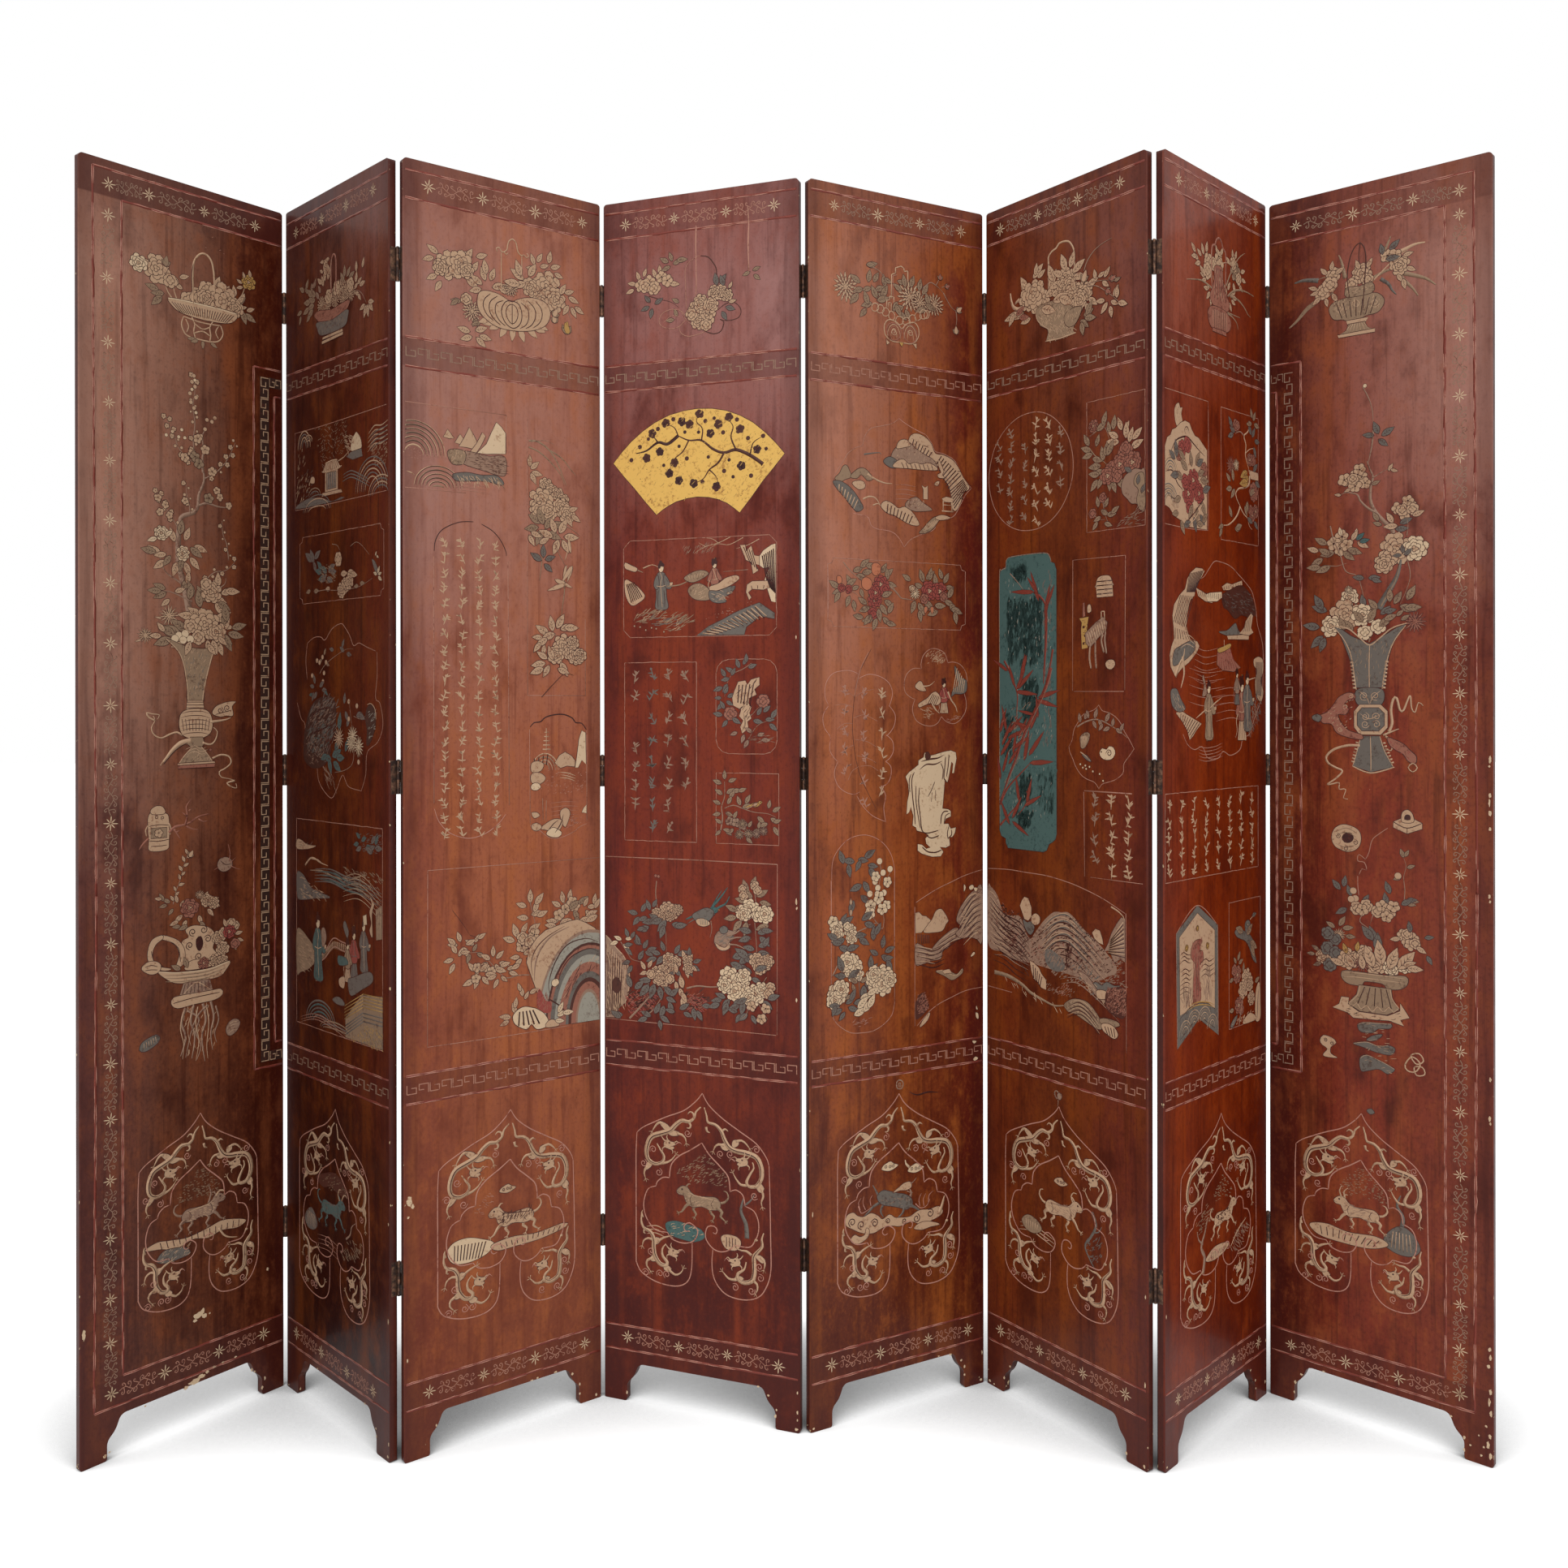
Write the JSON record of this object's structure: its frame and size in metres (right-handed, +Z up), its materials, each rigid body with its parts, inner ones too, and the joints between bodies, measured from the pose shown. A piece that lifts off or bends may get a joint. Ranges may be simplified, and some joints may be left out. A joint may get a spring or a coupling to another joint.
{
  "type": "folding screen",
  "caption": "Tall folding screen of narrow lacquered leaves on bracket feet, joined by loose-pin edge hinges and standing in a zig-zag.",
  "frame": {"origin": "on the floor, in the middle of the box that the standing screen takes up", "axes": "+Z up, +X along the screen from leaf 1 to leaf 8, the decorated fronts face -Y"},
  "size_m": [2.484, 0.3437, 2.3],
  "materials": {
    "boards": "softwood boards, seen only at chips and under the feet",
    "front_lacquer": "aged red-brown lacquer over a gesso ground",
    "back_lacquer": "plain dark brown lacquer over a gesso ground",
    "hinge_brass": "tarnished brass",
    "screws": "tarnished brass",
    "pins": "darkened steel"
  },
  "bodies": {
    "leaf_1": {"leaf_1_boards": "boards", "leaf_1_front_lacquer": "front_lacquer", "leaf_1_back_lacquer": "back_lacquer", "leaf_1_right_hinge_plates": "hinge_brass", "leaf_1_right_hinge_screws": "screws", "leaf_1_hinge_pins": "pins"},
    "leaf_2": {"leaf_2_boards": "boards", "leaf_2_front_lacquer": "front_lacquer", "leaf_2_back_lacquer": "back_lacquer", "leaf_2_right_hinge_plates": "hinge_brass", "leaf_2_right_hinge_screws": "screws", "leaf_2_hinge_pins": "pins", "leaf_2_left_hinge_plates": "hinge_brass", "leaf_2_left_hinge_screws": "screws"},
    "leaf_3": {"leaf_3_boards": "boards", "leaf_3_front_lacquer": "front_lacquer", "leaf_3_back_lacquer": "back_lacquer", "leaf_3_right_hinge_plates": "hinge_brass", "leaf_3_right_hinge_screws": "screws", "leaf_3_hinge_pins": "pins", "leaf_3_left_hinge_plates": "hinge_brass", "leaf_3_left_hinge_screws": "screws"},
    "leaf_4": {"leaf_4_boards": "boards", "leaf_4_front_lacquer": "front_lacquer", "leaf_4_back_lacquer": "back_lacquer", "leaf_4_right_hinge_plates": "hinge_brass", "leaf_4_right_hinge_screws": "screws", "leaf_4_hinge_pins": "pins", "leaf_4_left_hinge_plates": "hinge_brass", "leaf_4_left_hinge_screws": "screws"},
    "leaf_5": {"leaf_5_boards": "boards", "leaf_5_front_lacquer": "front_lacquer", "leaf_5_back_lacquer": "back_lacquer", "leaf_5_right_hinge_plates": "hinge_brass", "leaf_5_right_hinge_screws": "screws", "leaf_5_hinge_pins": "pins", "leaf_5_left_hinge_plates": "hinge_brass", "leaf_5_left_hinge_screws": "screws"},
    "leaf_6": {"leaf_6_boards": "boards", "leaf_6_front_lacquer": "front_lacquer", "leaf_6_back_lacquer": "back_lacquer", "leaf_6_right_hinge_plates": "hinge_brass", "leaf_6_right_hinge_screws": "screws", "leaf_6_hinge_pins": "pins", "leaf_6_left_hinge_plates": "hinge_brass", "leaf_6_left_hinge_screws": "screws"},
    "leaf_7": {"leaf_7_boards": "boards", "leaf_7_front_lacquer": "front_lacquer", "leaf_7_back_lacquer": "back_lacquer", "leaf_7_right_hinge_plates": "hinge_brass", "leaf_7_right_hinge_screws": "screws", "leaf_7_hinge_pins": "pins", "leaf_7_left_hinge_plates": "hinge_brass", "leaf_7_left_hinge_screws": "screws"},
    "leaf_8": {"leaf_8_boards": "boards", "leaf_8_front_lacquer": "front_lacquer", "leaf_8_back_lacquer": "back_lacquer", "leaf_8_left_hinge_plates": "hinge_brass", "leaf_8_left_hinge_screws": "screws"}
  },
  "joints": [
    {"name": "fold_1", "type": "hinge", "parent": "leaf_2", "child": "leaf_1", "pos_m": [-0.98062, 0.15197, 1.15], "axis": [0, 0, 1], "range_deg": [-97.5, 82.5]},
    {"name": "fold_2", "type": "hinge", "parent": "leaf_3", "child": "leaf_2", "pos_m": [-0.68537, -0.12583, 1.15], "axis": [0, 0, -1], "range_deg": [-83, 97]},
    {"name": "fold_3", "type": "hinge", "parent": "leaf_4", "child": "leaf_3", "pos_m": [-0.35189, 0.10469, 1.15], "axis": [0, 0, 1], "range_deg": [-58, 122]},
    {"name": "fold_4", "type": "hinge", "parent": "leaf_4", "child": "leaf_5", "pos_m": [0.03311, -0.0223, 1.15], "axis": [0, 0, 1], "range_deg": [-50, 130]},
    {"name": "fold_5", "type": "hinge", "parent": "leaf_5", "child": "leaf_6", "pos_m": [0.39542, 0.15957, 1.15], "axis": [0, 0, -1], "range_deg": [-84.5, 95.5]},
    {"name": "fold_6", "type": "hinge", "parent": "leaf_6", "child": "leaf_7", "pos_m": [0.64078, -0.16315, 1.15], "axis": [0, 0, 1], "range_deg": [-101, 79]},
    {"name": "fold_7", "type": "hinge", "parent": "leaf_7", "child": "leaf_8", "pos_m": [0.93652, 0.11413, 1.15], "axis": [0, 0, -1], "range_deg": [-88.5, 91.5]}
  ]
}
